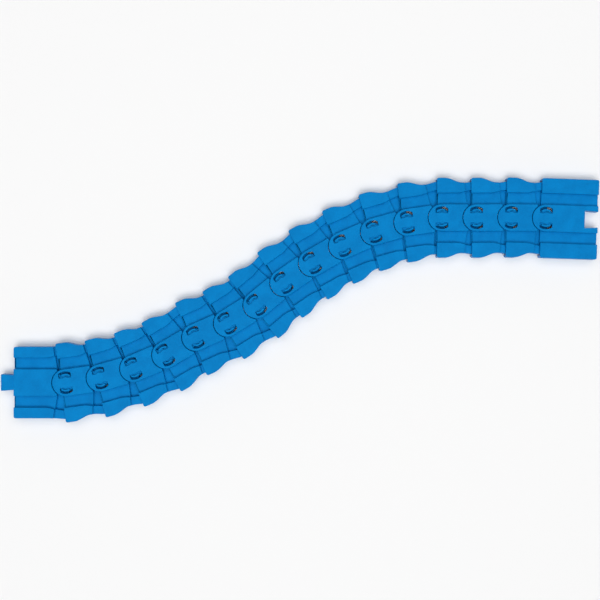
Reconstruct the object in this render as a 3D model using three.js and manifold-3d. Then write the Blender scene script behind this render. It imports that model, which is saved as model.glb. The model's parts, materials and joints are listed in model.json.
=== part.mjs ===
// Flexible toy railway track: a chain of moulded links that turn on vertical snap pivots.
// Each link is hollow underneath. Its front lies over the previous link's lowered shelf: a disc with two arc
// windows sits on the shelf's round boss, and two snap hooks on the boss's rim come up through the windows and
// reach inwards over the disc's hub.
// Millimetres, +Z up. The track lies on z = 0, X runs along a link, and both sides of a link are alike.
import * as THREE from "three";
import { mergeVertices } from "three/addons/utils/BufferGeometryUtils.js";
import Module from "manifold-3d";

// ---- driving dimensions ----
const PITCH = 18; // pivot to pivot
const HEIGHT = 8; // top of deck and shoulders
const GROOVE_DEPTH = 2.5; // wheel groove below the deck
const SKIN = 1.6; // thickness under every top surface
const WALL = 1.2; // side and end walls
const CLEAR = 0.3; // between faces that lie over or beside each other

const BEND_LIMIT = THREE.MathUtils.degToRad(9); // each pivot, either way from straight
// How far each pivot is turned as the track lies, in degrees, from the male end on.
const REST_BENDS = [7.8, 8, 7, 7.6, -6.3, 7.7, 7.7, -4.7, -5, -6.1, -8, -8, -7.8, 0.6, -1.5, -1];

// Across a link, from the centre line out.
const DECK_HALF = 7; // half-width of the middle deck, and radius of the disc at its front
const GROOVE_WIDTH = 5.9; // wheel groove at a link's front
const GROOVE_FLARE = 1.6; // how much further out the groove's wall runs at the back of the main level
const SHOULDER = 7.75; // flat outside the groove, at a link's front
const SHELF_ROOM = 0.4; // between a shelf's outside and the next link's side wall
const WAIST = 0.85; // a middle link's waist, narrower than its shelf on each side
const MALE_INSET = 0.55; // the male end, narrower than its shelf on each side
const GROOVE_ROOM = 0.5; // between the shelf's groove wall and the next link's, at the bend limit

// Along a link.
const MALE_LENGTH = 26.9; // its end face to its pivot
const FEMALE_LENGTH = 26.9; // the female end's pivot to its end face
const FRONT = 2.6; // front edge of the wings, ahead of the pivot
const EDGE_GAP = 0.9; // left between two links' edges at the bend limit
const SHELF_REACH = 1.3; // shelf past its pivot
const STEP_WALL = 1.5; // wall between the main level and the shelf
const RIB_FROM_PIVOT = 7.7; // cross rib under a link, behind its front pivot
const RIB_LIFT = 1; // ribs stay clear of the ground
const CORNER = 1; // rounding of the outer corners, seen from above

// Snap pivot: boss and hooks on one link, disc and windows on the next.
const HOOK_PLACE = 0.5125; // inner radius of the hooks' lips, as a share of the disc's
const STEM = 0.45; // thickness of a hook's stem
const LIP = 0.55; // how far a hook's lip reaches in from its stem
const HUB_ROOM = 0.75; // between the lips and the disc's hub, for the hooks to spring in
const LEDGE = 0.5; // thickness of the ledge under a lip
const HOOK_HALF_ANGLE = THREE.MathUtils.degToRad(31);
const HOOK_BELOW_TOP = 0.3;

// Fishtail connectors.
const TONGUE_LENGTH = 6.7;
const TONGUE_TIP_HALF = 4.35;
const TONGUE_ROOT_HALF = 3.8;
const TONGUE_BELOW_TOP = 0.6;
const NOTCH_CLEAR = 0.2; // notch larger than the tongue, on every side

// ---- what follows from them ----
const DROP = SKIN + CLEAR; // shelf below the main level
const GROOVE_Z = HEIGHT - GROOVE_DEPTH;
const SHELF_Z = HEIGHT - DROP;
const SHELF_GROOVE_Z = GROOVE_Z - DROP;
const GROOVE_HALF = DECK_HALF + GROOVE_WIDTH;
const WING_HALF = GROOVE_HALF + SHOULDER; // half-width at a link's front
const SHELF_HALF = WING_HALF - WALL - SHELF_ROOM;
const WAIST_HALF = SHELF_HALF - WAIST;
const MALE_HALF = SHELF_HALF - MALE_INSET;
const FLOOR_HALF = WAIST_HALF - WALL - CLEAR; // groove floors run out to here, inside the shoulders
const SOCKET_R = DECK_HALF + CLEAR; // hollow end of a deck, round the next link's disc
const HOOK_IN = DECK_HALF * HOOK_PLACE;
const STEM_IN = HOOK_IN + LIP;
const HOOK_OUT = STEM_IN + STEM;
const BOSS_R = HOOK_OUT;
const HUB_R = HOOK_IN - HUB_ROOM; // inner edge of the arc windows
const LEDGE_R = STEM_IN - CLEAR; // the hub's ledge, under the lips
const WINDOW_R = DECK_HALF - WALL; // outer edge of the windows
const SWEEP = HOOK_HALF_ANGLE + BEND_LIMIT; // what a hook's corner reaches at the bend limit
const WINDOW_HALF = HOOK_OUT * Math.sin(SWEEP) + CLEAR; // half of a window's length
const REAR = FRONT * Math.cos(BEND_LIMIT) + DECK_HALF * Math.sin(BEND_LIMIT) + EDGE_GAP;
const REAR_SLOPE = Math.tan(BEND_LIMIT); // a rear edge lies along the next front edge at the limit
const BELOW = -1; // cuts start here, below the ground
const FAR = 60; // well outside any link
const GRID = 2; // spacing in x of the corners along a curved edge

const PLASTIC = new THREE.MeshStandardMaterial({ color: 0x067ac2, roughness: 0.38, metalness: 0 });

const wasm = await Module();
wasm.setup();

// ---- from outlines to solids ----

// A three.js geometry as a manifold-3d solid.
function toSolid(geometry) {
  geometry.deleteAttribute("normal");
  geometry.deleteAttribute("uv");
  const merged = mergeVertices(geometry, 1e-4);
  const vertProperties = merged.attributes.position.array;
  const triVerts = new Uint32Array(merged.index.array);
  return new wasm.Manifold(new wasm.Mesh({ numProp: 3, vertProperties, triVerts }));
}

// A manifold-3d solid as a flat-shaded three.js geometry, its flat faces no longer split where pieces joined.
function toGeometry(solid) {
  const mesh = solid.asOriginal().simplify().getMesh();
  const shared = new THREE.BufferGeometry();
  shared.setAttribute("position", new THREE.BufferAttribute(mesh.vertProperties, 3));
  shared.setIndex(new THREE.BufferAttribute(mesh.triVerts, 1));
  const flat = shared.toNonIndexed();
  flat.computeVertexNormals();
  return flat;
}

// An upright prism over an outline of [x, y] points.
function prism(points, low, high) {
  const shape = new THREE.Shape(points.map(([x, y]) => new THREE.Vector2(x, y)));
  const geometry = new THREE.ExtrudeGeometry(shape, { depth: high - low, bevelEnabled: false });
  return toSolid(geometry.translate(0, 0, low));
}

// The same prism on both sides of the centre line, from an outline on the +Y side.
function bothSides(points, low, high) {
  const mirrored = points.map(([x, y]) => [x, -y]);
  return prism(points, low, high).add(prism(mirrored, low, high));
}

function block(x0, x1, half, low, high) {
  return prism([[x0, -half], [x1, -half], [x1, half], [x0, half]], low, high);
}

function disc(cx, radius, low, high, sides) {
  return prism(arc(cx, radius, 0, 2 * Math.PI, sides).slice(1), low, high);
}

function union(solids) {
  return solids.reduce((all, one) => all.add(one));
}

// ---- curves ----

function steps(count, at) {
  return Array.from({ length: count + 1 }, (_, i) => at(i / count));
}

// Points on an arc round (cx, 0).
function arc(cx, radius, from, to, count) {
  return steps(count, (t) => {
    const a = from + (to - from) * t;
    return [cx + radius * Math.cos(a), radius * Math.sin(a)];
  });
}

// A value that eases from a to b while x goes from x0 to x1.
function ease(x, x0, x1, a, b) {
  const t = THREE.MathUtils.clamp((x - x0) / (x1 - x0), 0, 1);
  return a + ((b - a) * (1 - Math.cos(Math.PI * t))) / 2;
}

// The band between two half-width curves from x0 to x1, as an outline on the +Y side. All bands have their
// corners on one grid in x, so that two bands along the same curve share a face.
function band(inner, outer, x0, x1) {
  const first = Math.floor(x0 / GRID) + 1;
  const last = Math.ceil(x1 / GRID) - 1;
  const between = steps(last - first, (t) => (first + (last - first) * t) * GRID);
  const along = (curve) => [x0, ...between, x1].map((x) => [x, curve(x)]);
  return [...along(inner), ...along(outer).reverse()];
}

const constant = (value) => () => value;
const inset = (curve, by) => (x) => curve(x) - by;

// ---- half-widths along a link whose rear pivot is at x = pivot ----

function middleOuter(x) {
  const waist = PITCH - 7.2;
  if (x < waist) return ease(x, 1.6, waist, WING_HALF, WAIST_HALF);
  return ease(x, waist, PITCH + SHELF_REACH, WAIST_HALF, SHELF_HALF);
}

function maleOuter(x) {
  return ease(x, MALE_LENGTH - 9.7, MALE_LENGTH + SHELF_REACH, MALE_HALF, SHELF_HALF);
}

function grooveOuter(pivot) {
  return (x) => ease(x, pivot - 10.7, pivot - 1.7, GROOVE_HALF, GROOVE_HALF + GROOVE_FLARE);
}

// On the shelf the groove's wall lies along the next link's groove wall at the bend limit.
function shelfGrooveOuter(pivot) {
  const nextWall = GROOVE_HALF + WALL + GROOVE_ROOM;
  return (x) => (nextWall + (x - pivot) * Math.sin(BEND_LIMIT)) / Math.cos(BEND_LIMIT);
}

// ---- the main level of a link ----

// Everything ahead of a slanted rear edge, or of one moved forward.
function aheadOfRear(pivot, forward) {
  const x = (y) => pivot - REAR - REAR_SLOPE * (y - DECK_HALF) - forward;
  return bothSides([[-FAR, 0], [x(0), 0], [x(FAR), FAR], [-FAR, FAR]], BELOW, HEIGHT + 1);
}

// Shoulders, groove floors and deck from x0 to x1, still solid underneath.
function mainBody(x0, x1, inner, outer) {
  return union([
    bothSides(band(inner, outer, x0, x1), 0, HEIGHT),
    block(x0, x1, FLOOR_HALF, 0, GROOVE_Z),
    block(Math.max(x0, 0), x1, DECK_HALF, 0, HEIGHT),
  ]);
}

// The room underneath it, which follows the same levels one skin lower.
function mainHollow(x0, x1, inner, outer) {
  return union([
    block(x0, x1, FLOOR_HALF, BELOW, GROOVE_Z - SKIN),
    bothSides(band(inset(inner, -WALL), inset(outer, WALL), x0, x1), BELOW, HEIGHT - SKIN),
    block(x0, x1, DECK_HALF - WALL, BELOW, HEIGHT - SKIN),
  ]);
}

// The disc round the origin: a full wall behind the wings' front edge, a bare skin ahead of it.
function nose() {
  const skin = disc(0, DECK_HALF, HEIGHT - SKIN, HEIGHT, 32);
  const wall = disc(0, DECK_HALF, 0, HEIGHT, 32);
  return wall.subtract(block(-FAR, -FRONT, FAR, BELOW, FAR)).add(skin);
}

// Two arc windows, to be cut through the disc: wide above the hub's ledge, narrower below it.
function windows() {
  const opening = (hub, hook, low, high) => {
    const inner = hook * Math.cos(SWEEP) - CLEAR; // where its straight inner corners lie
    const a = Math.acos(WINDOW_HALF / WINDOW_R);
    const b = Math.asin(inner / hub);
    const outline = [
      ...arc(0, WINDOW_R, a, Math.PI - a, 5),
      [-WINDOW_HALF, inner],
      ...arc(0, hub, Math.PI - b, b, 3),
      [WINDOW_HALF, inner],
    ];
    return bothSides(outline, low, high);
  };
  const ledgeTop = HEIGHT - SKIN + LEDGE;
  return opening(LEDGE_R, STEM_IN, BELOW, ledgeTop).add(opening(HUB_R, HOOK_IN, ledgeTop, HEIGHT + 1));
}

// What rounds off two outer corners at x; inward is +1 where the link lies on their +X side.
function cornerCuts(x, half, inward) {
  const quarter = steps(3, (t) => [
    x + inward * CORNER * (1 - Math.cos((Math.PI / 2) * t)),
    half - CORNER * (1 - Math.sin((Math.PI / 2) * t)),
  ]);
  const outside = [[x + inward * CORNER, half + 1], [x - inward, half + 1], [x - inward, half - CORNER]];
  return bothSides([...quarter, ...outside], BELOW, HEIGHT + 1);
}

// A cross rib underneath.
function rib(x, half) {
  return block(x - WALL / 2, x + WALL / 2, half, RIB_LIFT, GROOVE_Z - SKIN / 2);
}

// ---- the shelf behind it ----

// Two snap hooks on the boss's rim: a stem through each window and a lip over the hub's ledge.
function hooks(pivot) {
  const a0 = Math.PI / 2 - HOOK_HALF_ANGLE;
  const a1 = Math.PI / 2 + HOOK_HALF_ANGLE;
  const piece = (inside, low) => {
    const outline = [...arc(0, HOOK_OUT, a0, a1, 3), ...arc(0, inside, a1, a0, 3)];
    return bothSides(outline, low, HEIGHT - HOOK_BELOW_TOP).translate([pivot, 0, 0]);
  };
  return piece(STEM_IN, SHELF_Z - CLEAR).add(piece(HOOK_IN, HEIGHT - SKIN + LEDGE + CLEAR));
}

// The lowered shelf under the next link, hollow underneath, with its boss and hooks.
function shelf(pivot, outer) {
  const x0 = pivot - PITCH / 2;
  const x1 = pivot + SHELF_REACH;
  const hollowEnd = x1 - WALL;
  const groove = shelfGrooveOuter(pivot);
  const neckEnd = pivot - REAR - CLEAR;
  const neck = [[x0, 0], [pivot, 0], [pivot - BOSS_R / 2, BOSS_R / 2], [neckEnd, DECK_HALF], [x0, DECK_HALF]];
  const body = union([
    block(x0, x1, FLOOR_HALF, 0, SHELF_GROOVE_Z),
    bothSides(band(groove, outer, x0, x1), 0, SHELF_Z),
    bothSides(neck, 0, SHELF_Z),
    disc(pivot, BOSS_R, 0, SHELF_Z, 18),
  ]);
  const hollow = union([
    block(x0 - 1, hollowEnd, FLOOR_HALF, BELOW, SHELF_GROOVE_Z - SKIN),
    bothSides(band(inset(groove, -WALL), inset(outer, WALL), x0 - 1, hollowEnd), BELOW, SHELF_Z - SKIN),
    disc(pivot, BOSS_R - WALL, BELOW, SHELF_Z - SKIN, 12),
  ]);
  return body.subtract(aheadOfRear(pivot, STEP_WALL)).subtract(hollow).add(hooks(pivot));
}

// A main level that ends at the slanted edge and hands over to a shelf, round the pivot at x = pivot.
function endInShelf(body, hollow, pivot, outer) {
  const main = body.intersect(aheadOfRear(pivot, 0)).subtract(disc(pivot, SOCKET_R, BELOW, HEIGHT + 1, 36));
  const room = hollow
    .intersect(aheadOfRear(pivot, STEP_WALL))
    .subtract(disc(pivot, SOCKET_R + STEP_WALL, GROOVE_Z - SKIN, HEIGHT, 32));
  return main.subtract(room).add(shelf(pivot, outer));
}

// ---- the connectors on the two ends ----

// A fishtail from x = root to x = tip, on the centre line.
function fishtail(root, tip, rootHalf, tipHalf, low, high) {
  return prism([[root, -rootHalf], [tip, -tipHalf], [tip, tipHalf], [root, rootHalf]], low, high);
}

// ---- the three kinds of link ----

function middleLink() {
  const inner = grooveOuter(PITCH);
  const body = mainBody(-FRONT, PITCH, inner, middleOuter).add(nose());
  const hollow = mainHollow(-FRONT - 1, PITCH, inner, middleOuter);
  const link = endInShelf(body, hollow, PITCH, middleOuter)
    .add(rib(RIB_FROM_PIVOT, middleOuter(RIB_FROM_PIVOT) - WALL / 2))
    .subtract(cornerCuts(-FRONT, WING_HALF, 1));
  return link.subtract(windows());
}

// Its own frame starts at the end face; its only pivot is at x = MALE_LENGTH.
function maleEnd() {
  const inner = grooveOuter(MALE_LENGTH);
  const body = mainBody(0, MALE_LENGTH, inner, maleOuter);
  const hollow = mainHollow(WALL, MALE_LENGTH, inner, maleOuter);
  const link = endInShelf(body, hollow, MALE_LENGTH, maleOuter);
  const ribs = [MALE_LENGTH / 4, MALE_LENGTH / 2].map((x) => rib(x, MALE_HALF - WALL / 2));
  const top = HEIGHT - TONGUE_BELOW_TOP;
  const tongue = fishtail(WALL / 2, -TONGUE_LENGTH, TONGUE_ROOT_HALF, TONGUE_TIP_HALF, 0, top);
  return union([link, tongue, ...ribs]).subtract(cornerCuts(0, MALE_HALF, 1));
}

function femaleEnd() {
  const end = FEMALE_LENGTH;
  const inner = constant(GROOVE_HALF);
  const outer = constant(WING_HALF);
  const rootHalf = TONGUE_ROOT_HALF + NOTCH_CLEAR;
  const tipHalf = TONGUE_TIP_HALF + NOTCH_CLEAR;
  const inside = end - TONGUE_LENGTH - NOTCH_CLEAR;
  const notch = fishtail(end + 1, inside, rootHalf, tipHalf, BELOW, HEIGHT + 1);
  const round = block(inside - WALL, end, tipHalf + WALL, BELOW, HEIGHT + 1);
  const body = mainBody(-FRONT, end, inner, outer).add(nose());
  const hollow = mainHollow(-FRONT - 1, end - WALL, inner, outer).subtract(round);
  const link = body
    .subtract(hollow)
    .add(rib(RIB_FROM_PIVOT, WING_HALF - WALL / 2))
    .subtract(cornerCuts(-FRONT, WING_HALF, 1))
    .subtract(cornerCuts(end, WING_HALF, -1))
    .subtract(notch);
  return link.subtract(windows());
}

// ---- the track ----

const middle = toGeometry(middleLink());

function piece(name, geometry) {
  const mesh = new THREE.Mesh(geometry, PLASTIC);
  mesh.name = name;
  return mesh;
}

// Each link sits in a group at its front pivot, inside the group of the link before it.
const track = new THREE.Group();
track.add(piece("male_end", toGeometry(maleEnd())));
let previous = track;
REST_BENDS.forEach((bend, i) => {
  const joint = new THREE.Group();
  joint.position.x = i === 0 ? MALE_LENGTH : PITCH;
  joint.rotation.z = THREE.MathUtils.degToRad(bend);
  const last = i === REST_BENDS.length - 1;
  const name = last ? "female_end" : `link_${String(i + 1).padStart(2, "0")}`;
  joint.add(piece(name, last ? toGeometry(femaleEnd()) : middle));
  previous.add(joint);
  previous = joint;
});

// The frame's origin is the middle of the track's footprint, on the ground.
const whole = new THREE.Group();
whole.add(track);
whole.updateMatrixWorld(true);
const centre = new THREE.Box3().setFromObject(whole, true).getCenter(new THREE.Vector3());
track.position.set(-centre.x, -centre.y, 0);

export default whole;
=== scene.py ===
# Flexible toy railway track: seventeen moulded plastic links on vertical snap pivots, lying in an S.
# Links are shaped in millimetres in their own frame and then laid in metres where the CAD's hinges are.
import json
import math

import bmesh
import bpy
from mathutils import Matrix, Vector

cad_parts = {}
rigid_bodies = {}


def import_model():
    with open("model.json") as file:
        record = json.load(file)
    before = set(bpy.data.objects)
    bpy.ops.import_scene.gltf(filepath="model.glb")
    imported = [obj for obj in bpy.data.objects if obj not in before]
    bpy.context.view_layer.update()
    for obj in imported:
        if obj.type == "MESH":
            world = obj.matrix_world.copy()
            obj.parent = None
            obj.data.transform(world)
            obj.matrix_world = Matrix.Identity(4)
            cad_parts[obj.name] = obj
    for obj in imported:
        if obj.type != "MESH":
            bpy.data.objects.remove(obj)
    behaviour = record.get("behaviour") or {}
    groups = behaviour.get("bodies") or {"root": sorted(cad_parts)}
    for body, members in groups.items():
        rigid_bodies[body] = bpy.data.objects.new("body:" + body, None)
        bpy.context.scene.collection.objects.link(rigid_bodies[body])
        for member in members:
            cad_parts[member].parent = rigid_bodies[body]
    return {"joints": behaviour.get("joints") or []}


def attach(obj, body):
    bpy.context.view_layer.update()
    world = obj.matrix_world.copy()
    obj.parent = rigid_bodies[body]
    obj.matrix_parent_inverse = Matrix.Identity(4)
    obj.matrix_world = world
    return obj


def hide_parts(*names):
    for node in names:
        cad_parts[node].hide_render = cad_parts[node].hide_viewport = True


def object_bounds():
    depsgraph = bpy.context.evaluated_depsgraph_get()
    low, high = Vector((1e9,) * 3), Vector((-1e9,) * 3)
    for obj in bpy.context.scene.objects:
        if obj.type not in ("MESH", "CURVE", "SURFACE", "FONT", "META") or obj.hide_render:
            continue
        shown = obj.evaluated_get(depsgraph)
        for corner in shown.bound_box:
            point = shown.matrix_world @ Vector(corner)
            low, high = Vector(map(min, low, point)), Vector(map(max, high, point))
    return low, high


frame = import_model()
cad_low, cad_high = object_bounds()

# ---- How the track lies ----
# The real track is a chain: each link is snapped onto the one before it and turns a few degrees. A hinge's range
# runs from how the link lies to its two stops, which are equally far from straight, so its middle gives the bend.
# The first end has no hinge of its own, and is placed from the hinge on its shelf.
MALE_LENGTH = 26.9

hinges = frame["joints"]
first_end = hinges[0]["parent"]
start = Vector(hinges[0]["pos_m"])
laid = {first_end: (start - Vector((MALE_LENGTH / 1000, 0, 0)), 0.0)}
for hinge in hinges:
    heading = laid[hinge["parent"]][1]
    bend = -sum(hinge["range_deg"]) / 2
    laid[hinge["child"]] = (Vector(hinge["pos_m"]), heading + math.radians(bend))
last_end = hinges[-1]["child"]
middle_links = [name for name in laid if name not in (first_end, last_end)]


# ---- Running surface of a middle link ----
# Two wide shoulders, two wheel grooves and a raised deck, one skin thick over a hollow underside. The link
# starts at its front pivot, x = 0, and its main level ends in a slanted edge that leaves room for the next link.
# It is one moulding, so every top edge is rounded and every groove wall has a small fillet at its foot.
PITCH = 18
HEIGHT = 8
SKIN = 1.6
WALL = 1.2
CLEAR = 0.3
GROOVE_Z = 5.5
DECK_HALF = 7
GROOVE_HALF = 12.9
GROOVE_FLARE = 1.6
WING_HALF = 20.65
SHELF_HALF = 19.05
WAIST_HALF = 18.2
FLOOR_HALF = 16.7
FRONT = 2.6
REAR = 4.562
LIMIT = math.radians(9)
SHELF_REACH = 1.3
STEP_WALL = 1.5
SOCKET_R = DECK_HALF + CLEAR
CORNER = 1
CROWN = 0.32
FILLET = 0.35
FOOT_SUNK = 0.01
BELOW = -1
AHEAD = 20
CURVE_STEP = 0.5
PLAN_ROUND = 0.42
SHELF_ROUND = 0.36
CEILING_ROUND = 0.5


def ease(x, x0, x1, a, b):
    """A value that goes smoothly from a to b while x goes from x0 to x1."""
    t = min(max((x - x0) / (x1 - x0), 0), 1)
    return a + (b - a) * (1 - math.cos(math.pi * t)) / 2


def middle_side(x):
    """Half-width of a middle link: wide at the front, a waist, then a little wider again over the shelf."""
    waist = PITCH - 7.2
    if x < waist:
        return ease(x, 1.6, waist, WING_HALF, WAIST_HALF)
    return ease(x, waist, PITCH + SHELF_REACH, WAIST_HALF, SHELF_HALF)


def groove_wall(pivot):
    """The groove's outer wall, which opens out towards the shelf so that wheels run on at any bend."""
    return lambda x: ease(x, pivot - 10.7, pivot - 1.7, GROOVE_HALF, GROOVE_HALF + GROOVE_FLARE)


def moved(curve, by):
    return lambda x: curve(x) + by


def rear_edge(pivot, y, forward=0.0):
    """Where the main level ends: it slants back from the deck, or lies that much further forward."""
    return pivot - REAR - math.tan(LIMIT) * (abs(y) - DECK_HALF) - forward


def meet_rear(curve, pivot, forward=0.0):
    """The x at which a side curve reaches the rear edge."""
    x = pivot
    for _ in range(30):
        x = rear_edge(pivot, curve(x), forward)
    return x


def arc(cx, radius, first, last, side, spacing=0.35):
    """Corners (x, y, side) on an arc round (cx, 0), from one angle to another, in degrees."""
    count = max(2, round(abs(math.radians(last - first)) * radius / spacing))
    turns = [math.radians(first + (last - first) * i / count) for i in range(count + 1)]
    return [(cx + radius * math.cos(a), radius * math.sin(a), side) for a in turns]


def along(curve, x0, x1, side):
    """Corners on a side curve from x0 to x1."""
    count = max(2, round(abs(x1 - x0) / CURVE_STEP))
    places = [x0 + (x1 - x0) * i / count for i in range(count + 1)]
    return [(x, curve(x), side) for x in places]


def both_halves(half):
    """A whole outline from its half on +Y, which starts at the front of the centre line and ends at its rear."""
    back = [(x, -y, half[i - 1][2]) for i, (x, y, _) in enumerate(half) if y > 1e-6]
    return half + back[::-1]


def turn_at(outline, i):
    """How far an outline turns at a corner, in radians, and the two directions there."""
    here = Vector(outline[i][:2])
    into = (here - Vector(outline[i - 1][:2])).normalized()
    out = (Vector(outline[(i + 1) % len(outline)][:2]) - here).normalized()
    return math.atan2(into.cross(out), into.dot(out)), into, out


def soften(outline, radius, sharp=25):
    """The outline with its sharp corners rounded, as they are in a mould."""
    count = len(outline)
    points = [Vector(p[:2]) for p in outline]
    gone = [0.0]
    for i in range(1, count + 1):
        gone.append(gone[-1] + (points[i % count] - points[i - 1]).length)
    corners = [i for i in range(count) if abs(turn_at(outline, i)[0]) > math.radians(sharp)]
    if not corners:
        return outline
    reach = {}
    for k, i in enumerate(corners):
        before = (gone[i] - gone[corners[k - 1]]) % gone[-1] or gone[-1]
        after = (gone[corners[(k + 1) % len(corners)]] - gone[i]) % gone[-1] or gone[-1]
        want = radius * math.tan(abs(turn_at(outline, i)[0]) / 2)
        reach[i] = min(want, 0.46 * before, 0.46 * after)
    rounded = []
    for i in range(count):
        x, y, side = outline[i]
        if i in reach:
            _, into, out = turn_at(outline, i)
            a, b = points[i] - into * reach[i], points[i] + out * reach[i]
            for j in range(6):
                t = j / 5
                p = a * (1 - t) ** 2 + points[i] * 2 * t * (1 - t) + b * t * t
                rounded.append((p.x, p.y, outline[i - 1][2] if t < 0.5 else side))
        elif all(min(abs(gone[i] - gone[c]), gone[-1] - abs(gone[i] - gone[c])) > reach[c] * 1.05 for c in corners):
            rounded.append((x, y, side))
    return rounded


def spread(outline, grow):
    """The outline with each side moved outwards by what grow gives for it."""
    area = sum(a[0] * b[1] - b[0] * a[1] for a, b in zip(outline, outline[1:] + outline[:1]))
    hand = 1 if area > 0 else -1
    moved_out = []
    for i, (x, y, side) in enumerate(outline):
        turn, into, out = turn_at(outline, i)
        d0, d1 = grow(outline[i - 1][2]), grow(side)
        n0, n1 = Vector((into.y, -into.x)) * hand, Vector((out.y, -out.x)) * hand
        if abs(turn) < math.radians(20):
            shift = (n0 + n1).normalized() * (d0 + d1) / 2
        else:
            det = n0.x * n1.y - n0.y * n1.x
            shift = Vector(((d0 * n1.y - d1 * n0.y) / det, (d1 * n0.x - d0 * n1.x) / det))
        moved_out.append((x + shift.x, y + shift.y))
    return moved_out


def levels(low, high, crown=CROWN, foot=None, fillet=FILLET):
    """Heights at which a moulded shape has a ring of corners: its foot's fillet and its crown's rounding."""
    quarter = [math.sin(math.radians(a)) for a in (0, 22, 45, 68, 90)]
    rings = {low, high}
    if crown:
        rings |= {high - crown + crown * s for s in quarter}
    if foot is not None:
        rings |= {foot - FOOT_SUNK + fillet * (1 - s) for s in quarter}
    return sorted(rings)


def profile(z, high, crown, foot, fillet):
    """How far a moulded wall stands out at a height: inwards round its crown, outwards at its foot."""
    if crown and z > high - crown:
        return -crown + math.sqrt(max(crown**2 - (z - high + crown) ** 2, 0))
    if foot is not None and z < foot - FOOT_SUNK + fillet:
        up = max(fillet - max(z - foot + FOOT_SUNK, 0), 0)
        return fillet - math.sqrt(max(fillet**2 - up**2, 0))
    return 0.0


def moulding(outline, low, high, crowned="", footed="", foot=None, crown=CROWN, fillet=FILLET, mirror=False):
    """A closed solid over an outline. crowned and footed say which sides have a rounded top and a fillet."""
    shape = bmesh.new()
    rings = []
    for z in levels(low, high, crown if crowned else 0, foot if footed else None, fillet):

        def grow(side):
            top = crown if side in crowned else 0
            return profile(z, high, top, foot if side in footed else None, fillet)

        rings.append([shape.verts.new((x, y, z)) for x, y in spread(outline, grow)])
    for lower, upper in zip(rings, rings[1:]):
        for i in range(len(lower)):
            shape.faces.new((lower[i - 1], lower[i], upper[i], upper[i - 1]))
    caps = [shape.faces.new(rings[0][::-1]), shape.faces.new(rings[-1])]
    shape.normal_update()
    bmesh.ops.triangulate(shape, faces=caps, ngon_method="BEAUTY")
    if mirror:
        twin = bmesh.ops.duplicate(shape, geom=shape.verts[:] + shape.faces[:])["geom"]
        corners = [v for v in twin if isinstance(v, bmesh.types.BMVert)]
        bmesh.ops.scale(shape, vec=(1, -1, 1), verts=corners)
    bmesh.ops.recalc_face_normals(shape, faces=shape.faces[:])
    mesh = bpy.data.meshes.new("shape")
    shape.to_mesh(mesh)
    shape.free()
    piece = bpy.data.objects.new("shape", mesh)
    bpy.context.scene.collection.objects.link(piece)
    return piece


def plain_mesh(piece):
    """What a piece's modifiers make of it, as a plain mesh in its place; the modifiers are gone."""
    bpy.context.view_layer.update()
    made = bpy.data.meshes.new_from_object(piece.evaluated_get(bpy.context.evaluated_depsgraph_get()))
    piece.modifiers.clear()
    piece.data = made
    return piece


def fused(base, added=(), cut=()):
    """Solids joined to a base and then cut from it, as one closed mesh."""
    for operation, tools in (("UNION", added), ("DIFFERENCE", cut)):
        for tool in tools:
            step = base.modifiers.new(operation, "BOOLEAN")
            step.operation = operation
            step.solver = "MANIFOLD"
            step.object = tool
    plain_mesh(base)
    for tool in [*added, *cut]:
        bpy.data.objects.remove(tool)
    return base


# Sides of an outline: f front, s outer side, g groove wall, r rear, n nose, k socket round the next disc, h hidden.
def shoulders(inner, outer, x0, pivot, front_corner):
    """The two flats outside the grooves, from x0 to the slanted rear edge."""
    x_out, x_in = meet_rear(outer, pivot), meet_rear(inner, pivot)
    corner = [(x0, outer(x0), "f")] if front_corner is None else front_corner
    outline = [(x0, inner(x0), "f"), *corner, *along(outer, x0 + CORNER, x_out, "s")[:-1]]
    outline += [(x_out, outer(x_out), "r"), *along(inner, x_in, x0, "g")[:-1]]
    return outline


def outer_corner(x, half, inward):
    """A quarter round where a link's front or end meets its side."""
    turns = [math.radians(90 * i / 6) for i in range(7)]
    quarter = [(x + inward * CORNER * (1 - math.cos(a)), half - CORNER * (1 - math.sin(a)), "s") for a in turns]
    return quarter[:-1]


def horn(pivot):
    """The tip of the deck's horn, where the socket meets the rear edge."""
    y = DECK_HALF
    for _ in range(60):
        y = math.sqrt(SOCKET_R**2 - (pivot - rear_edge(pivot, y)) ** 2)
    return rear_edge(pivot, y), y


def socket(pivot):
    """The hollow in the rear of deck and floor that the next link's disc turns in, from the horn inwards."""
    x, y = horn(pivot)
    tip = math.degrees(math.atan2(y, x - pivot))
    return arc(pivot, SOCKET_R, tip, 180, "k")


def floor_outline(x0, pivot):
    half = [(x0, 0, "f"), (x0, FLOOR_HALF, "h"), (rear_edge(pivot, FLOOR_HALF), FLOOR_HALF, "r")]
    return soften(both_halves(half + socket(pivot)), PLAN_ROUND)


def main_level(inner, outer, x0, pivot, deck_front, corner):
    """Shoulders, floors and deck of a link that ends in a shelf, solid underneath."""
    sides = soften(shoulders(inner, outer, x0, pivot, corner), PLAN_ROUND)
    wings = moulding(sides, 0, HEIGHT, "fsgr", "g", GROOVE_Z, mirror=True)
    floor = moulding(floor_outline(x0, pivot), 0, GROOVE_Z, "fr")
    half = [*deck_front, (rear_edge(pivot, DECK_HALF), DECK_HALF, "r"), *socket(pivot)]
    deck = moulding(soften(both_halves(half), PLAN_ROUND), 0, HEIGHT, "fngrk", "g", GROOVE_Z)
    return fused(wings, [floor, deck])


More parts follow.
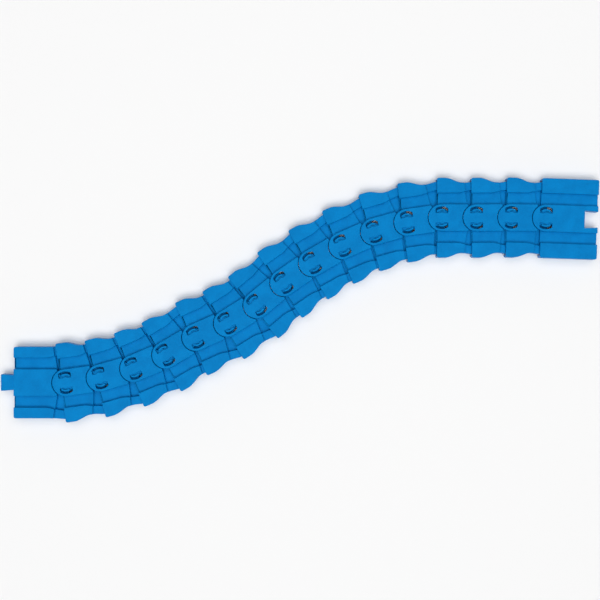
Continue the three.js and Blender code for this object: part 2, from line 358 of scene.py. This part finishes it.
def main_hollows(inner, outer, x0, pivot):
    """The rooms under them, one skin lower, with rounded ceilings."""
    low_x = rear_edge(pivot, FLOOR_HALF, STEP_WALL)
    room = both_halves([(x0, 0, "h"), (x0, FLOOR_HALF, "h"), (low_x, FLOOR_HALF, "h"),
                        (rear_edge(pivot, 0, STEP_WALL), 0, "h")])
    ring = SOCKET_R + STEP_WALL
    half = DECK_HALF - WALL
    meets = math.degrees(math.asin(half / ring))
    under_deck = both_halves([(x0, 0, "h"), (x0, half, "h"), *arc(pivot, ring, 180 - meets, 180, "h")])
    a, b = moved(inner, WALL), moved(outer, -WALL)
    x_out, x_in = meet_rear(b, pivot, STEP_WALL), meet_rear(a, pivot, STEP_WALL)
    flank = along(b, x0, x_out, "h") + along(a, x_in, x0, "h")
    return [
        moulding(room, BELOW, GROOVE_Z - SKIN, "h", crown=CEILING_ROUND),
        moulding(under_deck, BELOW, HEIGHT - SKIN, "h", crown=CEILING_ROUND),
        moulding(flank, BELOW, HEIGHT - SKIN, "h", crown=CEILING_ROUND, mirror=True),
    ]


nose_meets_wing = math.degrees(math.acos(-FRONT / DECK_HALF))
nose = [*arc(0, DECK_HALF, 180, nose_meets_wing, "n")[:-1], *arc(0, DECK_HALF, nose_meets_wing, 90, "g")]


def box_outline(x0, x1, half_width):
    return [(x0, -half_width, "h"), (x1, -half_width, "h"), (x1, half_width, "h"), (x0, half_width, "h")]


def under_nose():
    """Cutter for all that is ahead of the wings and below the disc's skin."""
    return moulding(box_outline(-AHEAD, -FRONT, AHEAD), BELOW, HEIGHT - SKIN)


corner = outer_corner(-FRONT, WING_HALF, 1)
middle = main_level(groove_wall(PITCH), middle_side, -FRONT, PITCH, nose, corner)
middle_rooms = main_hollows(groove_wall(PITCH), middle_side, -FRONT - 1, PITCH)
fused(middle, cut=[under_nose(), *middle_rooms])


# ---- Shelf, boss and snap hooks ----
# Behind the main level the link steps down to a shelf that slides under the next link. A round boss on it carries
# that link's disc, and two hooks moulded on the boss's rim snap up through the disc's windows, where their lips
# reach inwards over the hub to hold it down. The tree repeats one hook round the pivot.
SHELF_Z = 6.1
SHELF_GROOVE_Z = 3.6
HOOK_IN = 3.588
STEM_IN = 4.138
HOOK_OUT = 4.588
BOSS_R = HOOK_OUT
NECK_MEETS_BOSS = 130.1
HOOK_TOP = 7.7
LIP_Z = 7.2
HOOK_ROUND = 0.12
HOOK_CORNER = 0.16
SHELF_CROWN = 0.25
SHELF_CEILING = 0.4
HOOK_HALF_ANGLE = 31
GROOVE_ROOM = 0.5


def shelf_groove(pivot):
    """On the shelf the groove's wall lies along the next link's groove wall at the bend limit."""
    room = GROOVE_HALF + WALL + GROOVE_ROOM
    return lambda x: (room + (x - pivot) * math.sin(LIMIT)) / math.cos(LIMIT)


def shelf(pivot, outer):
    """The shelf and its boss, hollow underneath. It starts inside the main level's end wall."""
    end = pivot + SHELF_REACH
    buried = STEP_WALL / 2
    groove = shelf_groove(pivot)
    x_out, x_in = meet_rear(outer, pivot, buried), meet_rear(groove, pivot, buried)
    flank = along(outer, x_out, end, "s")[:-1] + [(end, outer(end), "e")] + along(groove, end, x_in, "g")
    flanks = moulding(soften(flank, SHELF_ROUND), 0, SHELF_Z, "sge", "g", SHELF_GROOVE_Z, crown=SHELF_CROWN,
                      mirror=True)
    half = [(rear_edge(pivot, 0, buried), 0, "h"), (rear_edge(pivot, FLOOR_HALF, buried), FLOOR_HALF, "h"),
            (end, FLOOR_HALF, "e"), (end, 0, "h")]
    floor = moulding(both_halves(half), 0, SHELF_GROOVE_Z, "e", crown=SHELF_CROWN)
    neck_end = pivot - REAR - CLEAR
    half = [(rear_edge(pivot, 0, STEP_WALL), 0, "h"), (rear_edge(pivot, DECK_HALF, STEP_WALL), DECK_HALF, "h"),
            (neck_end, DECK_HALF, "b"), *arc(pivot, BOSS_R, NECK_MEETS_BOSS, 0, "b")]
    boss = moulding(soften(both_halves(half), SHELF_ROUND), 0, SHELF_Z, "b", "b", SHELF_GROOVE_Z, crown=SHELF_CROWN)
    solid = fused(flanks, [floor, boss])
    hollow_end = end - WALL
    x0 = pivot - PITCH / 2
    a, b = moved(groove, WALL), moved(outer, -WALL)
    room = box_outline(x0, hollow_end, FLOOR_HALF)
    flank_room = along(b, x0, hollow_end, "h") + along(a, hollow_end, x0, "h")
    bore = arc(pivot, BOSS_R - WALL, 0, 360, "h")[:-1]
    return fused(solid, cut=[
        moulding(room, BELOW, SHELF_GROOVE_Z - SKIN, "h", crown=SHELF_CEILING),
        moulding(flank_room, BELOW, SHELF_Z - SKIN, "h", crown=SHELF_CEILING, mirror=True),
        moulding(bore, BELOW, SHELF_Z - SKIN, "h", crown=SHELF_CEILING),
    ])


def tree_of(name, inputs):
    """An empty Geometry Nodes tree with named inputs, and a maker of its nodes."""
    tree = bpy.data.node_groups.new(name, "GeometryNodeTree")
    tree.interface.new_socket("Geometry", in_out="INPUT", socket_type="NodeSocketGeometry")
    for label, kind in inputs.items():
        tree.interface.new_socket(label, in_out="INPUT", socket_type="NodeSocket" + kind)
    tree.interface.new_socket("Geometry", in_out="OUTPUT", socket_type="NodeSocketGeometry")
    given = tree.nodes.new("NodeGroupInput").outputs
    result = tree.nodes.new("NodeGroupOutput").inputs[0]

    def node(kind, settings=None, output=0, **sockets):
        made = tree.nodes.new(kind)
        for key, value in (settings or {}).items():
            setattr(made, key, value)
        for key, value in sockets.items():
            socket = made.inputs[int(key[1:])] if key[1:].isdigit() else made.inputs[key.replace("_", " ")]
            if isinstance(value, bpy.types.NodeSocket):
                tree.links.new(value, socket)
            else:
                socket.default_value = value
        return made.outputs[output]

    return tree, given, result, node


def run_tree(piece, tree, values):
    """Runs a tree on a piece with these input values, and keeps the result as its plain mesh."""
    modifier = piece.modifiers.new(tree.name, "NODES")
    modifier.node_group = tree
    sockets = {s.name: s.identifier for s in tree.interface.items_tree if s.in_out == "INPUT"}
    for name, value in values.items():
        modifier[sockets[name]] = value
    return plain_mesh(piece)


def upside_down(piece, about):
    """The piece turned over in z, for a cutter that flares at its top."""
    turned = bmesh.new()
    turned.from_mesh(piece.data)
    for corner in turned.verts:
        corner.co.z = 2 * about - corner.co.z
    bmesh.ops.reverse_faces(turned, faces=turned.faces[:])
    turned.to_mesh(piece.data)
    turned.free()
    return piece


def hook_part(inside, outside, low, high):
    """One level of a hook on the +Y side of the pivot: its stem or its lip."""
    first, last = 90 - HOOK_HALF_ANGLE, 90 + HOOK_HALF_ANGLE
    outline = [*arc(0, outside, first, last, "o", 0.2), *arc(0, inside, last, first, "o", 0.2)]
    return moulding(soften(outline, HOOK_CORNER), low, high, "o", crown=HOOK_ROUND)


repeat_round, given, result, node = tree_of("repeat_round_a_pivot", {"Pivot": "Float", "Copies": "Int"})
spots = node("GeometryNodePoints", Count=given["Copies"], Position=node("ShaderNodeCombineXYZ", X=given["Pivot"]))
turn = node("ShaderNodeMath", {"operation": "DIVIDE"}, _0=math.tau, _1=given["Copies"])
turn = node("ShaderNodeMath", {"operation": "MULTIPLY"}, _0=turn, _1=node("GeometryNodeInputIndex"))
copies = node("GeometryNodeInstanceOnPoints", Points=spots, Instance=given["Geometry"],
              Rotation=node("ShaderNodeCombineXYZ", Z=turn))
whole = node("GeometryNodeRealizeInstances", Geometry=copies)
repeat_round.links.new(node("GeometryNodeSetMaterial", Geometry=whole), result)


def hooks(pivot):
    """The two snap hooks of a boss."""
    buried = 0.02
    stem = hook_part(STEM_IN, HOOK_OUT - buried, SHELF_Z - CLEAR, HOOK_TOP - HOOK_ROUND)
    hook = fused(hook_part(HOOK_IN, HOOK_OUT, LIP_Z, HOOK_TOP), [stem])
    return run_tree(hook, repeat_round, {"Pivot": float(pivot), "Copies": 2})


# ---- Windows and ribs ----
# Each disc has two arc windows, and a ledge round its hub that the hooks of the link before catch on. Underneath,
# cross ribs stiffen a link, and the mould's ejector pins leave rows of shallow round marks on the ceilings.
HUB_R = 2.838
LEDGE_R = 3.838
WINDOW_R = 5.8
WINDOW_HALF = 3.249
LEDGE_Z = 6.9
RIM = 0.18
WINDOW_CORNER = 0.35
RIB_FROM_PIVOT = 7.7
RIB_LIFT = 1
PIN_R = 1.1
PIN_MARK = 0.15
PIN_Y = 16.7


def window_outline(hub, hook):
    """A window on the +Y side of the pivot, from the hub out, with room for that side of a hook to sweep."""
    inner = hook * math.cos(math.radians(HOOK_HALF_ANGLE) + LIMIT) - CLEAR
    a = math.degrees(math.acos(WINDOW_HALF / WINDOW_R))
    b = math.degrees(math.asin(inner / hub))
    outline = arc(0, WINDOW_R, a, 180 - a, "w")
    outline += [(-WINDOW_HALF, inner, "w"), *arc(0, hub, 180 - b, b, "w"), (WINDOW_HALF, inner, "w")]
    return soften(outline, WINDOW_CORNER)


def windows():
    """Cutters for a disc's two windows: down to the hub's ledge, and through beside it."""
    wide = moulding(window_outline(HUB_R, HOOK_IN), HEIGHT - 1, 2 * HEIGHT - LEDGE_Z, "", "w", HEIGHT, fillet=RIM,
                    mirror=True)
    narrow = moulding(window_outline(LEDGE_R, STEM_IN), BELOW, LEDGE_Z + 0.1, mirror=True)
    return [upside_down(wide, HEIGHT), narrow]


repeat_row, given, result, node = tree_of("repeat_in_a_row", {"First": "Float", "Spacing": "Float", "Copies": "Int"})
away = node("ShaderNodeMath", {"operation": "MULTIPLY_ADD"}, _0=node("GeometryNodeInputIndex"), _1=given["Spacing"],
            _2=given["First"])
spots = node("GeometryNodePoints", Count=given["Copies"], Position=node("ShaderNodeCombineXYZ", X=away))
copies = node("GeometryNodeInstanceOnPoints", Points=spots, Instance=given["Geometry"])
whole = node("GeometryNodeRealizeInstances", Geometry=copies)
repeat_row.links.new(node("GeometryNodeSetMaterial", Geometry=whole), result)


def ribs(first, spacing, copies, half):
    """Cross ribs under a link, sunk into its floor."""
    top = GROOVE_Z - SKIN / 2
    rib = moulding(box_outline(-WALL / 2, WALL / 2, half), RIB_LIFT, top, "h", crown=0.2)
    rib = upside_down(rib, (RIB_LIFT + top) / 2)
    return run_tree(rib, repeat_row, {"First": float(first), "Spacing": float(spacing), "Copies": copies})


def pin_marks(first, spacing, copies, y):
    """Cutters for a row of ejector pin marks on both sides."""
    outline = [(px, py + y, side) for px, py, side in arc(0, PIN_R, 0, 360, "h")[:-1]]
    mark = moulding(outline, HEIGHT - SKIN - 0.5, HEIGHT - SKIN + PIN_MARK, "h", crown=0.08, mirror=y > 0)
    return run_tree(mark, repeat_row, {"First": float(first), "Spacing": float(spacing), "Copies": copies})


rib_half = middle_side(RIB_FROM_PIVOT) - WALL / 2
fused(middle, [shelf(PITCH, middle_side), hooks(PITCH), ribs(RIB_FROM_PIVOT, 1, 1, rib_half)],
      [*windows(), pin_marks(1.3, 3.6, 2, PIN_Y)])


# ---- Laying the links ----
# Every link comes out of one of three moulds, in the same blue plastic, and is then snapped onto the one before.
# The tree keeps each link's own millimetres for the pattern of its plastic, because that pattern is in the mould,
# gives the link a number of its own, so that no two are mottled alike, and lays it at its hinge.
lay_link, given, result, node = tree_of("lay_link", {
    "Place": "Vector", "Heading": "Float", "Number": "Int", "Plastic": "Material"})
kept = node("GeometryNodeStoreNamedAttribute", {"data_type": "FLOAT_VECTOR", "domain": "POINT"},
            Geometry=given["Geometry"], Name="mould", Value=node("GeometryNodeInputPosition"))
lot = node("FunctionNodeRandomValue", {"data_type": "FLOAT"}, output=1, _2=0.0, _3=100.0, ID=given["Number"], Seed=5)
kept = node("GeometryNodeStoreNamedAttribute", {"data_type": "FLOAT", "domain": "POINT"},
            Geometry=kept, Name="lot", Value=lot)
placed = node("GeometryNodeTransform", Geometry=kept, Translation=given["Place"], Scale=(0.001, 0.001, 0.001),
              Rotation=node("ShaderNodeCombineXYZ", Z=given["Heading"]))
whole = node("GeometryNodeRealizeInstances", Geometry=placed)
lay_link.links.new(node("GeometryNodeSetMaterial", Geometry=whole, Material=given["Plastic"]), result)


class Wire:
    """A socket of a material. Sums on it add Math nodes, and node adds any other."""

    def __init__(self, tree, socket=None):
        self.tree, self.socket = tree, socket

    def node(self, kind, settings=None, output=0, **sockets):
        made = self.tree.nodes.new(kind)
        for key, value in (settings or {}).items():
            setattr(made, key, value)
        for key, value in sockets.items():
            socket = made.inputs[int(key[1:])] if key[1:].isdigit() else made.inputs[key.replace("_", " ")]
            if isinstance(value, Wire):
                self.tree.links.new(value.socket, socket)
            else:
                socket.default_value = value
        return Wire(self.tree, made.outputs[output])

    def maths(self, operation, a, b):
        return self.node("ShaderNodeMath", {"operation": operation}, _0=a, _1=b)

    def __add__(self, other):
        return self.maths("ADD", self, other)

    def __sub__(self, other):
        return self.maths("SUBTRACT", self, other)

    def __mul__(self, other):
        return self.maths("MULTIPLY", self, other)

    def __rsub__(self, other):
        return self.maths("SUBTRACT", other, self)

    __radd__ = __add__
    __rmul__ = __mul__

    def size(self):
        return self.node("ShaderNodeMath", {"operation": "ABSOLUTE"}, _0=self)

    def step(self, low, high):
        """0 below low, 1 above high, and smooth between them."""
        return self.node("ShaderNodeMapRange", {"interpolation_type": "SMOOTHSTEP"}, Value=self, From_Min=low,
                         From_Max=high)

    def mixed(self, a, b):
        """Colour a where this is 0, b where it is 1."""
        return self.node("ShaderNodeMix", {"data_type": "RGBA"}, output=2, _0=self, _6=a, _7=b)


PALE_BLUE = (0.001, 0.222, 0.575, 1)
DEEP_BLUE = (0.0003, 0.172, 0.472, 1)

plastic = bpy.data.materials.new("blue_plastic")
plastic.use_nodes = True
start_wire = Wire(plastic.node_tree)
shader = plastic.node_tree.nodes["Principled BSDF"]
own = start_wire.node("ShaderNodeAttribute", {"attribute_name": "mould"}, output=1)
lot = start_wire.node("ShaderNodeAttribute", {"attribute_name": "lot"}, output=2)


def noise(scale, detail=2.0, roughness=0.5):
    return start_wire.node("ShaderNodeTexNoise", {"noise_dimensions": "4D"}, Vector=own, W=lot, Scale=scale,
                           Detail=detail, Roughness=roughness)


lengthways = start_wire.node("ShaderNodeSeparateXYZ", Vector=own)
cloud = noise(0.16, 3.0)
speck = noise(2.2, 2.0)
grain = noise(9.0, 2.0)
tone = cloud.step(0.3, 0.7) * 0.6 + speck.step(0.35, 0.65) * 0.4
colour = tone.mixed(DEEP_BLUE, PALE_BLUE)
rough = 0.34 + 0.1 * cloud + 0.06 * speck
sink = 1 - (lengthways - RIB_FROM_PIVOT).size().step(0.2, 1.4)
relief = grain * 0.5 + speck * 0.8 + cloud * 2.0 - sink * 1.5
bumped = start_wire.node("ShaderNodeBump", Strength=0.35, Distance=0.00002, Height=relief)
for name, wire in {"Base Color": colour, "Roughness": rough, "Normal": bumped}.items():
    plastic.node_tree.links.new(wire.socket, shader.inputs[name])
shader.inputs["IOR"].default_value = 1.49
shader.inputs["Specular IOR Level"].default_value = 0.12


def finished(mould_piece):
    """A link's mesh ready to be laid, with soft shading and its real edges kept."""
    mould_piece.data.shade_smooth()
    mould_piece.data.set_sharp_from_angle(angle=math.radians(33))
    even = mould_piece.modifiers.new("even", "WEIGHTED_NORMAL")
    even.keep_sharp = True
    even.weight = 100
    return plain_mesh(mould_piece)


def lay(mould_piece, body):
    """A copy of a moulded link, laid at its hinge and riding on its body."""
    link = bpy.data.objects.new(body + "_moulding", mould_piece.data.copy())
    bpy.context.scene.collection.objects.link(link)
    place, heading = laid[body]
    number = list(laid).index(body)
    run_tree(link, lay_link, {"Place": place, "Heading": heading, "Number": number, "Plastic": plastic})
    link.data.name = body + "_moulding"
    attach(link, body)
    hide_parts(body)


finished(middle)
for name in middle_links:
    lay(middle, name)
bpy.data.objects.remove(middle)


# ---- Male end ----
# The end with the fishtail tongue. It is longer than a link, square at its end face, and has no disc: its own shelf
# carries the first link. The tongue is a solid wedge that drops into the notch of another track.
MALE_INSET = 0.55
MALE_HALF = SHELF_HALF - MALE_INSET
TONGUE_LENGTH = 6.7
TONGUE_TIP_HALF = 4.35
TONGUE_ROOT_HALF = 3.8
TONGUE_TOP = 7.4
TONGUE_CORNER = 0.5
MALE_PIN_Y = 16.2


def male_side(x):
    return ease(x, MALE_LENGTH - 9.7, MALE_LENGTH + SHELF_REACH, MALE_HALF, SHELF_HALF)


groove = groove_wall(MALE_LENGTH)
end_of_deck = [(0, 0, "f"), (0, DECK_HALF, "g")]
male = main_level(groove, male_side, 0, MALE_LENGTH, end_of_deck, outer_corner(0, MALE_HALF, 1))
fused(male, cut=main_hollows(groove, male_side, WALL, MALE_LENGTH))
tongue = [(WALL / 2, -TONGUE_ROOT_HALF, "t"), (-TONGUE_LENGTH, -TONGUE_TIP_HALF, "t"),
          (-TONGUE_LENGTH, TONGUE_TIP_HALF, "t"), (WALL / 2, TONGUE_ROOT_HALF, "h")]
tongue = moulding(soften(tongue, TONGUE_CORNER), 0, TONGUE_TOP, "t")
fused(male, [shelf(MALE_LENGTH, male_side), hooks(MALE_LENGTH), tongue,
             ribs(MALE_LENGTH / 4, MALE_LENGTH / 4, 2, MALE_HALF - WALL / 2)],
      [pin_marks(3.6, 6, 3, MALE_PIN_Y)])
finished(male)
lay(male, first_end)
bpy.data.objects.remove(male)


# ---- Female end ----
# The end with the fishtail notch. Its disc turns on the last link's boss like any other, and from there its
# grooves and shoulders run straight and full width to the end face.
FEMALE_LENGTH = 26.9
NOTCH_CLEAR = 0.2
NOTCH_CORNER = 0.3
NOTCH_RIM = 0.25

root_half = TONGUE_ROOT_HALF + NOTCH_CLEAR
tip_half = TONGUE_TIP_HALF + NOTCH_CLEAR
inside = FEMALE_LENGTH - TONGUE_LENGTH - NOTCH_CLEAR
end = FEMALE_LENGTH
flat = [(-FRONT, GROOVE_HALF, "f"), *outer_corner(-FRONT, WING_HALF, 1)]
flat += [(x, y, "s") for x, y, _ in outer_corner(end, WING_HALF, -1)[::-1]]
flat += [(end, WING_HALF - CORNER, "f"), (end, GROOVE_HALF, "g")]
female = moulding(soften(flat, PLAN_ROUND), 0, HEIGHT, "fsg", "g", GROOVE_Z, mirror=True)
half = [(-FRONT, 0, "f"), (-FRONT, FLOOR_HALF, "h"), (end, FLOOR_HALF, "f"), (end, 0, "f")]
floor = moulding(both_halves(half), 0, GROOVE_Z, "f")
half = [*nose, (end, DECK_HALF, "f"), (end, 0, "f")]
deck = moulding(soften(both_halves(half), PLAN_ROUND), 0, HEIGHT, "fng", "g", GROOVE_Z)
fused(female, [floor, deck])


x0, x1 = -FRONT - 1, end - WALL
flank_room = [(x, y, "h") for x, y in ((x0, GROOVE_HALF + WALL), (x1, GROOVE_HALF + WALL), (x1, WING_HALF - WALL),
                                       (x0, WING_HALF - WALL))]
notch_wall = moulding(box_outline(inside - WALL, end, tip_half + WALL), -3, HEIGHT + 1)
rooms = fused(moulding(box_outline(x0, x1, FLOOR_HALF), BELOW, GROOVE_Z - SKIN, "h", crown=CEILING_ROUND),
              [moulding(flank_room, BELOW, HEIGHT - SKIN, "h", crown=CEILING_ROUND, mirror=True),
               moulding(box_outline(x0, x1, DECK_HALF - WALL), BELOW, HEIGHT - SKIN, "h", crown=CEILING_ROUND)],
              [notch_wall])
notch = [(end + 1, -root_half, "n"), (end + 1, root_half, "n"), (inside, tip_half, "n"), (inside, -tip_half, "n")]
notch = moulding(soften(notch, NOTCH_CORNER), HEIGHT - 1, 2 * HEIGHT + 1, "", "n", HEIGHT, fillet=NOTCH_RIM)
notch = upside_down(notch, HEIGHT)
fused(female, cut=[under_nose(), rooms])
fused(female, [ribs(RIB_FROM_PIVOT, 1, 1, WING_HALF - WALL / 2)],
      [*windows(), notch, pin_marks(2.5, 8.5, 3, PIN_Y)])
finished(female)
lay(female, last_end)
bpy.data.objects.remove(female)


# ---- Table, light and camera ----
# The track is seen from straight above on a plain white table, under a wide soft lamp overhead and a steep key lamp
# that stands on the near side.
table_mesh = bpy.data.meshes.new("table")
table_mesh.from_pydata([(-1.5, -1.5, 0), (1.5, -1.5, 0), (1.5, 1.5, 0), (-1.5, 1.5, 0)], [], [(0, 1, 2, 3)])
table = bpy.data.objects.new("table", table_mesh)
bpy.context.scene.collection.objects.link(table)
table.location.z = cad_low.z
white = bpy.data.materials.new("table_white")
white.use_nodes = True
paint = white.node_tree.nodes["Principled BSDF"]
paint.inputs["Base Color"].default_value = (0.9, 0.9, 0.9, 1)
paint.inputs["Roughness"].default_value = 0.9
table_mesh.materials.append(white)

bpy.context.scene.view_settings.view_transform = "Standard"
key = bpy.data.lights.new("key", "SUN")
key.energy = 1.15
key.angle = math.radians(28)
lamp = bpy.data.objects.new("key", key)
lamp.rotation_euler = (math.radians(18), 0, 0)
lamp.visible_glossy = False
bpy.context.scene.collection.objects.link(lamp)

overhead = bpy.data.lights.new("overhead", "AREA")
overhead.shape = "SQUARE"
overhead.size = 1.8
overhead.energy = 17
softbox = bpy.data.objects.new("overhead", overhead)
softbox.location.z = 1.3
softbox.visible_glossy = False
bpy.context.scene.collection.objects.link(softbox)

room = bpy.data.worlds.new("room")
bpy.context.scene.world = room
room.use_nodes = True
sky = Wire(room.node_tree)
up = sky.node("ShaderNodeSeparateXYZ", output=2, Vector=sky.node("ShaderNodeTexCoord"))
glow = 0.02 + 0.6 * (1 - up.step(0.15, 0.6))
background = room.node_tree.nodes["Background"]
background.inputs["Color"].default_value = (1, 1, 1, 1)
room.node_tree.links.new(glow.socket, background.inputs["Strength"])

SENSOR = 36
DISTANCE = 0.7
MARGIN = 1.0016
camera = bpy.data.cameras.new("camera")
camera.sensor_width = SENSOR
half_width = (cad_high.x - cad_low.x) / 2 * MARGIN
camera.lens = SENSOR / 2 * (DISTANCE - cad_high.z) / half_width
eye = bpy.data.objects.new("camera", camera)
eye.location = ((cad_low.x + cad_high.x) / 2, (cad_low.y + cad_high.y) / 2, DISTANCE)
bpy.context.scene.collection.objects.link(eye)
bpy.context.scene.camera = eye
